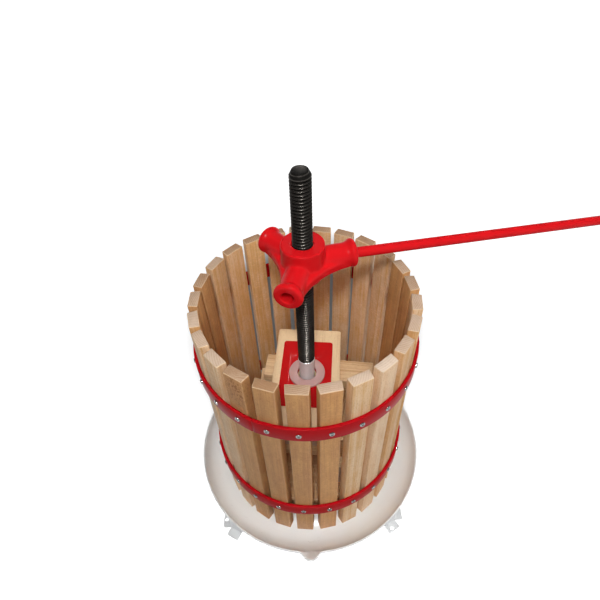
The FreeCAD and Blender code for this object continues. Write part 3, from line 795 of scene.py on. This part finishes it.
class BuildSpindle(bpy.types.Operator):
    """Black thread cut along a true helix, with a plain tapered nose"""
    bl_idname = "press.build_spindle"
    bl_label = "Spindle"

    def execute(self, context):
        s = context.scene.press_spindle
        low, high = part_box("spindle")
        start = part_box("spindle_sleeve")[1].z + 0.02 * MM
        top = high.z

        # The thread's outline climbs one pitch while it turns once, and is cut flat at both ends
        bm = bmesh.new()
        crest = bm.verts.layers.float.new("crest")
        line = []
        for turn in range(-1, int((top - start) / s.pitch) + 3):
            for rise, raised in THREAD_STATIONS:
                v = bm.verts.new((s.radius - s.depth * (1.0 - raised), 0.0,
                                  start + s.pitch * (turn + rise)))
                v[crest] = POLISH.get(rise, 0.0)
                line.append(v)
        edges = [bm.edges.new(pair) for pair in zip(line, line[1:])]
        bmesh.ops.spin(bm, geom=line + edges, cent=(0, 0, 0), axis=(0, 0, 1), angle=TAU,
                       dvec=(0, 0, s.pitch / s.columns), steps=s.columns)
        bmesh.ops.remove_doubles(bm, verts=bm.verts, dist=2 * SAME_CORNER)
        for z, side in ((start, -1), (top, 1)):
            cut = bmesh.ops.bisect_plane(bm, geom=bm.verts[:] + bm.edges[:] + bm.faces[:],
                                         dist=1e-7, plane_co=(0, 0, z), plane_no=(0, 0, side),
                                         clear_outer=True)["geom_cut"]
            bmesh.ops.holes_fill(bm, sides=0,
                                 edges=[e for e in cut if isinstance(e, bmesh.types.BMEdge)])

        for v in bm.verts:
            below = top - v.co.z
            fade = min(1.0, max(0.0, (below - s.plain) / s.runout))
            taper = (s.radius - s.nose_radius) * max(0.0, s.nose - below) / s.nose
            r = v.co.xy.length
            v.co.xy *= min(s.radius - taper, s.radius - (s.radius - r) * fade) / r

        lathe([(0.0, low.z), (s.core - MM, low.z), (s.core, low.z + MM), (s.core, start + MM),
               (0.0, start + MM)], 32, bm)
        place_piece("threaded_spindle", to_mesh(bm, "spindle"),
                    black_oxide("black_oxide_finish", s.black), "stand", ["spindle"],
                    60.0)
        return {"FINISHED"}


class BuildSleeve(bpy.types.Operator):
    """Satin sleeve with a turned rim, lightened partly as painted highlight"""
    bl_idname = "press.build_sleeve"
    bl_label = "Sleeve"

    def execute(self, context):
        s = context.scene.press_spindle
        low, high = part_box("spindle_sleeve")
        top, bead = high.z, s.sleeve_rim
        outside = [(r * MM, low.z + z * MM) for r, z in SLEEVE_SHAPE]
        bore, barrel = outside[0][0], outside[-1][0]
        round_rim = arc(bead, bead, range(-60, 91, 15))
        outside.append((barrel, top - 2.6 * MM))
        outside += [(barrel - 0.15 * MM + r, top - bead + z) for r, z in round_rim]
        outside += [(bore, top), outside[0]]
        bm = lathe(outside, 64)
        # The sleeve's top is marked as rim, which the finish lightens partly as painted highlight
        rim = bm.verts.layers.float.new("rim")
        for v in bm.verts:
            v[rim] = 1.0 if v.co.z > top - 2.1 * MM else 0.0
        place_piece("sleeve_tube", to_mesh(bm, "sleeve"),
                    metal("sleeve_finish", s.sleeve, 0.26, 0.6, 0.0, 0.08), "stand",
                    ["spindle_sleeve"], 25.0)
        return {"FINISHED"}


class BuildNut(bpy.types.Operator):
    """Cast three-armed nut with soft corners, and the bronze bush inside it"""
    bl_idname = "press.build_nut"
    bl_label = "Nut"

    def shaped(self, piece, context):
        """The piece's mesh with its modifiers applied."""
        return bpy.data.meshes.new_from_object(
            piece.evaluated_get(context.evaluated_depsgraph_get()))

    def execute(self, context):
        s = context.scene.press_nut
        rough = add_object("casting", to_mesh(joined("hub_nut"), "casting"))
        grid = rough.modifiers.new("grid", "REMESH")
        grid.mode, grid.voxel_size, grid.adaptivity = "VOXEL", s.voxel, 0.0
        even = rough.modifiers.new("even", "SMOOTH")
        even.factor, even.iterations = 0.5, s.rounding

        soft = add_object("soft", self.shaped(rough, context))
        mark_hollows(soft, s.hollow)
        fill = soft.modifiers.new("fill", "SMOOTH")
        fill.factor, fill.iterations, fill.vertex_group = 0.5, s.fillet, "hollow"
        mesh = self.shaped(soft, context)
        bpy.data.objects.remove(rough)
        bpy.data.objects.remove(soft)
        place_piece("cast_nut", mesh, enamel("casting_enamel", s.enamel, 1.0), "nut_arms",
                    ["hub_nut"], 70.0)

        bm = ease(solid_of("thread_bush"), s.bush_edge, 1)
        bronze = metal("bronze_finish", s.bronze, 0.25, 0.5)
        place_piece("bronze_bush", to_mesh(bm, "bush"), bronze, "thread_nut", ["thread_bush"])
        return {"FINISHED"}


class BuildBar(bpy.types.Operator):
    """Round push bar, lying in its socket"""
    bl_idname = "press.build_bar"
    bl_label = "Push bar"

    def execute(self, context):
        s = context.scene.press_nut
        joint = next(j for j in frame["joints"] if j["name"] == "bar_slide")
        axis = Vector(joint["axis"]).normalized()
        corners = corners_of("push_bar")
        along = [c.dot(axis) for c in corners]
        near, far, middle = min(along), max(along), mean(corners)
        foot = middle + axis * (near - middle.dot(axis))
        long, r, soft = far - near, s.bar_radius, s.bar_edge
        end = [(0.0, 0.0), (r - soft, 0.0), (r - 0.3 * soft, 0.3 * soft), (r, soft)]
        bm = lathe(end + [(radius, long - z) for radius, z in reversed(end)], s.bar_columns)
        turn = axis.to_track_quat("Z", "Y").to_matrix().to_4x4()
        bmesh.ops.transform(bm, matrix=Matrix.Translation(foot) @ turn, verts=bm.verts)
        place_piece("round_bar", to_mesh(bm, "bar"),
                    enamel("bar_enamel", s.enamel, 0.15, 0.03, 0.10), "push_bar", ["push_bar"])
        return {"FINISHED"}


class BuildStack(bpy.types.Operator):
    """Blocks, half discs and board in planed beech, the red plate and the nylon washer"""
    bl_idname = "press.build_stack"
    bl_label = "Pressing stack"

    def execute(self, context):
        s = context.scene.press_stack
        finish = wood("beech_block_finish", s.wood_pale, s.wood_tan, s.wood_dark, 0.52, figure=0.3)
        swap = Matrix(((1, 0, 0, 0), (0, 0, 1, 0), (0, 1, 0, 0), (0, 0, 0, 1)))

        # Node, body, whether its grain runs along X, how far it is turned, its tone and its figure
        pieces = (("disc_front", "half_discs", True, -4.0, 1.2, 31),
                  ("disc_rear", "half_discs", True, -4.0, 1.1, 32),
                  ("block_lower_left", "lower_blocks", False, -3.6, 0.3, 33),
                  ("block_lower_right", "lower_blocks", False, -5.5, 0.35, 34),
                  ("block_upper_rear", "upper_blocks", True, -9.2, 0.2, 35),
                  ("block_upper_front", "upper_blocks", True, -7.0, 0.3, 36),
                  ("press_board", "pressing_head", False, -6.5, -0.22, 39))
        for node, body, along_x, turn, tone, figure in pieces:
            mesh = to_mesh(ease(solid_of(node), s.easing), node)
            into = Matrix.Rotation(math.radians(-turn + (90.0 if along_x else 0.0)), 4, "Z")
            mark_grain(mesh, swap @ into, figure, tone, BLOCK_END_TONE)
            place_piece(node + "_beech", mesh, finish, body, [node], 40.0)

        plate = to_mesh(ease(solid_of("press_plate"), s.plate_edge, 2, 40.0), "plate")
        place_piece("steel_plate", plate, enamel("plate_enamel", s.enamel, 0.2, 0.02),
                    "pressing_head", ["press_plate"])
        washer = to_mesh(ease(solid_of("thrust_washer"), s.washer_edge, 2, 40.0), "washer")
        place_piece("nylon_washer", washer, nylon("nylon_finish", s.nylon), "pressing_head",
                    ["thrust_washer"])
        return {"FINISHED"}


class BuildStand(bpy.types.Operator):
    """Tray, legs, carrier and their fixings"""
    bl_idname = "press.build_stand"
    bl_label = "Tray and stand"

    def execute(self, context):
        s = context.scene.press_stand
        place_piece("dished_tray", to_mesh(joined("tray"), "tray"),
                    powder_coat("tray_coat", s.powder), "stand", ["tray"], 35.0)
        coat = powder_coat("leg_coat", s.leg_powder)
        for node in ("leg_rear", "leg_right", "leg_left", "carrier"):
            mesh = to_mesh(ease(solid_of(node), s.edge), node)
            place_piece(node + "_folded", mesh, coat, "stand", [node])
        zinc = metal("fixing_zinc", s.zinc, 0.28, 0.3)
        for node in ("leg_bolts", "spindle_foot_washer", "spindle_foot_nut"):
            mesh = to_mesh(ease(solid_of(node), s.bolt_edge, 1), node)
            place_piece(node + "_plated", mesh, zinc, "stand", [node])
        return {"FINISHED"}


class BuildStage(bpy.types.Operator):
    """Pale floor, soft studio lights and the camera"""
    bl_idname = "press.build_stage"
    bl_label = "Stage"

    def light(self, name, place, aim, size, watts, receivers, glint=False):
        """Box that lights the receivers, or only shows in their gloss."""
        data = bpy.data.lights.new(name, "AREA")
        data.shape, data.size, data.size_y = "RECTANGLE", size[0], size[1]
        data.energy = watts
        lamp = add_object(name, data)
        lamp.visible_glossy, lamp.visible_diffuse = glint, not glint
        lamp.light_linking.receiver_collection = receivers
        lamp.location = place
        lamp.rotation_mode = "QUATERNION"
        lamp.rotation_quaternion = (Vector(aim) - Vector(place)).to_track_quat("-Z", "Y")

    def seen(self, g):
        """1 for rays from the camera, off gloss or through glass, else 0."""
        return g.math("ADD", g.ray("Camera") + g.ray("Glossy"), g.ray("Transmission"), clamp=True)

    def floor_finish(self, s):
        """Paper that is whiter further out, with painted shadow behind the press that deepens the
        real one.
        """
        g = Graph(bpy.data.materials.new("floor_finish"))
        place = g.node("ShaderNodeNewGeometry", "Position")
        x, y, _ = g.split(place)
        # Painted shadow: behind the press the floor turns darker and glows less, deepening the
        # real shadow of the floor light
        wide, deep = (x - PAINTED_SHADOW_AT[0]) / PAINTED_SHADOW_SIZE[0], (y - PAINTED_SHADOW_AT[1]) / PAINTED_SHADOW_SIZE[1]
        shade = g.ramp(1.0 - (wide ** 2.0 + deep ** 2.0) ** 0.5, 0.0, 0.42)
        glow = (g.ramp(g.length(place), 0.30, 1.1) * 0.60 + 0.35) * (1.0 - shade)

        def matt(tone):
            return g.node("ShaderNodeBsdfDiffuse", inputs={"Color": tone})

        def white(strength):
            return g.node("ShaderNodeEmission", inputs={"Color": WHITE, "Strength": strength})

        def mixed(factor, a, b):
            return g.node("ShaderNodeMixShader", inputs={0: factor, 1: a, 2: b})

        paper = g.node("ShaderNodeAddShader", inputs={
            0: matt(g.mix_value(shade, s.paper, s.painted_shadow_tone)), 1: white(glow)})
        shown = mixed(g.ray("Glossy"), paper, white(1.0))
        dim = matt([s.bounce] * 3)
        g.node("ShaderNodeOutputMaterial", inputs={"Surface": mixed(self.seen(g), dim, shown)})
        return g.owner

    def surroundings(self, s):
        """White all round, dim for the press's faces and dark overhead in its gloss."""
        g = Graph(bpy.data.worlds.new("surroundings"))
        rise = g.split(g.node("ShaderNodeTexCoord", "Generated"))[2]
        dark = g.ramp(rise, 0.08, 0.40) * g.ray("Glossy")
        strength = g.mix_value(self.seen(g), s.sky, 1.0 - 0.93 * dark)
        light = g.node("ShaderNodeBackground", inputs={"Color": WHITE, "Strength": strength})
        g.node("ShaderNodeOutputWorld", inputs={"Surface": light})
        return g.owner

    def camera(self, s):
        """Camera that looks along +Y, tilted down and rolled."""
        back = Vector((0, -math.cos(s.elevation), math.sin(s.elevation)))
        level = Vector((1, 0, 0))
        rise = back.cross(level)
        right = level * math.cos(s.roll) + rise * math.sin(s.roll)
        up = rise * math.cos(s.roll) - level * math.sin(s.roll)
        data = bpy.data.cameras.new("camera")
        data.lens, data.sensor_width, data.clip_start, data.clip_end = s.lens, 36.0, 0.01, 60.0
        camera = add_object("camera", data)
        turn = Matrix((right, up, back)).transposed().to_4x4()
        camera.matrix_world = Matrix.Translation(Vector(s.place)) @ turn
        return camera

    def execute(self, context):
        s = context.scene.press_stage
        scene = context.scene
        bm = bmesh.new()
        bmesh.ops.create_grid(bm, x_segments=1, y_segments=1, size=12.0)
        floor = add_object("floor", to_mesh(bm, "floor"))
        floor.data.materials.append(self.floor_finish(s))
        press, paper = (bpy.data.collections.new(name) for name in ("all_but_floor", "floor_only"))
        press.objects.link(floor)
        press.collection_objects[0].light_linking.link_state = "EXCLUDE"
        paper.objects.link(floor)

        scene.world = self.surroundings(s)
        scene.view_settings.view_transform = "Standard"

        # Name, place, aim, size in metres, power, what it lights, and whether only gloss shows it
        heart = (0, 0, 0.35)
        lights = (
            ("front_box", (-0.04, -0.96, 1.84), heart, (0.22, 0.17), s.key, press, False),
            ("front_glint", (-0.05, -0.98, 1.80), heart, (0.20, 0.17), s.glint, press, True),
            ("rear_glint", (0.005, 1.05, 1.66), (0, 0, 0.45), (0.02, 0.74), 0.05 * s.glint, press,
             True),
            ("floor_light", (0.0, -0.62, 1.10), (0, 0.40, 0), (0.30, 0.20), s.spill, paper, False),
            ("front_bank", (-0.20, -1.40, 2.10), heart, (1.2, 0.9), s.front, press, False),
            ("right_side", (1.60, -0.90, 0.95), (0, 0, 0.25), (0.8, 0.9), s.side, press, False),
            ("overhead", (0.0, 0.30, 2.60), heart, (1.5, 1.5), s.overhead, press, False))
        for light in lights:
            self.light(*light)

        scene.camera = self.camera(s)
        return {"FINISHED"}


class PressPanel(bpy.types.Panel):
    """Sidebar with the settings and the build buttons"""
    bl_idname = "PRESS_PT_panel"
    bl_label = "Fruit press"
    bl_space_type = "VIEW_3D"
    bl_region_type = "UI"
    bl_category = "Fruit press"

    def draw(self, context):
        for key, _group in GROUPS:
            box = self.layout.box()
            group = getattr(context.scene, key)
            box.label(text=key.replace("_", " ").capitalize())
            for item in group.__annotations__:
                box.prop(group, item)
        for operator in OPERATORS:
            self.layout.operator(operator.bl_idname)


GROUPS = (("press_basket", BasketSettings), ("press_stack", StackSettings),
          ("press_spindle", SpindleSettings), ("press_nut", NutSettings),
          ("press_stand", StandSettings), ("press_stage", StageSettings))
OPERATORS = (BuildStaves, BuildHoops, BuildScrews, BuildSpindle, BuildSleeve, BuildNut, BuildBar,
             BuildStack, BuildStand, BuildStage)


def register():
    for key, group in GROUPS:
        bpy.utils.register_class(group)
        setattr(bpy.types.Scene, key, PointerProperty(type=group))
    for cls in (*OPERATORS, PressPanel):
        bpy.utils.register_class(cls)


def unregister():
    for cls in (PressPanel, *reversed(OPERATORS)):
        bpy.utils.unregister_class(cls)
    for key, group in reversed(GROUPS):
        delattr(bpy.types.Scene, key)
        bpy.utils.unregister_class(group)


def main():
    """Builds the pieces and the stage."""
    register()
    bpy.ops.press.build_staves()
    bpy.ops.press.build_hoops()
    bpy.ops.press.build_screws()
    bpy.ops.press.build_spindle()
    bpy.ops.press.build_sleeve()
    bpy.ops.press.build_nut()
    bpy.ops.press.build_bar()
    bpy.ops.press.build_stack()
    bpy.ops.press.build_stand()
    bpy.ops.press.build_stage()


if __name__ == "__main__":
    main()
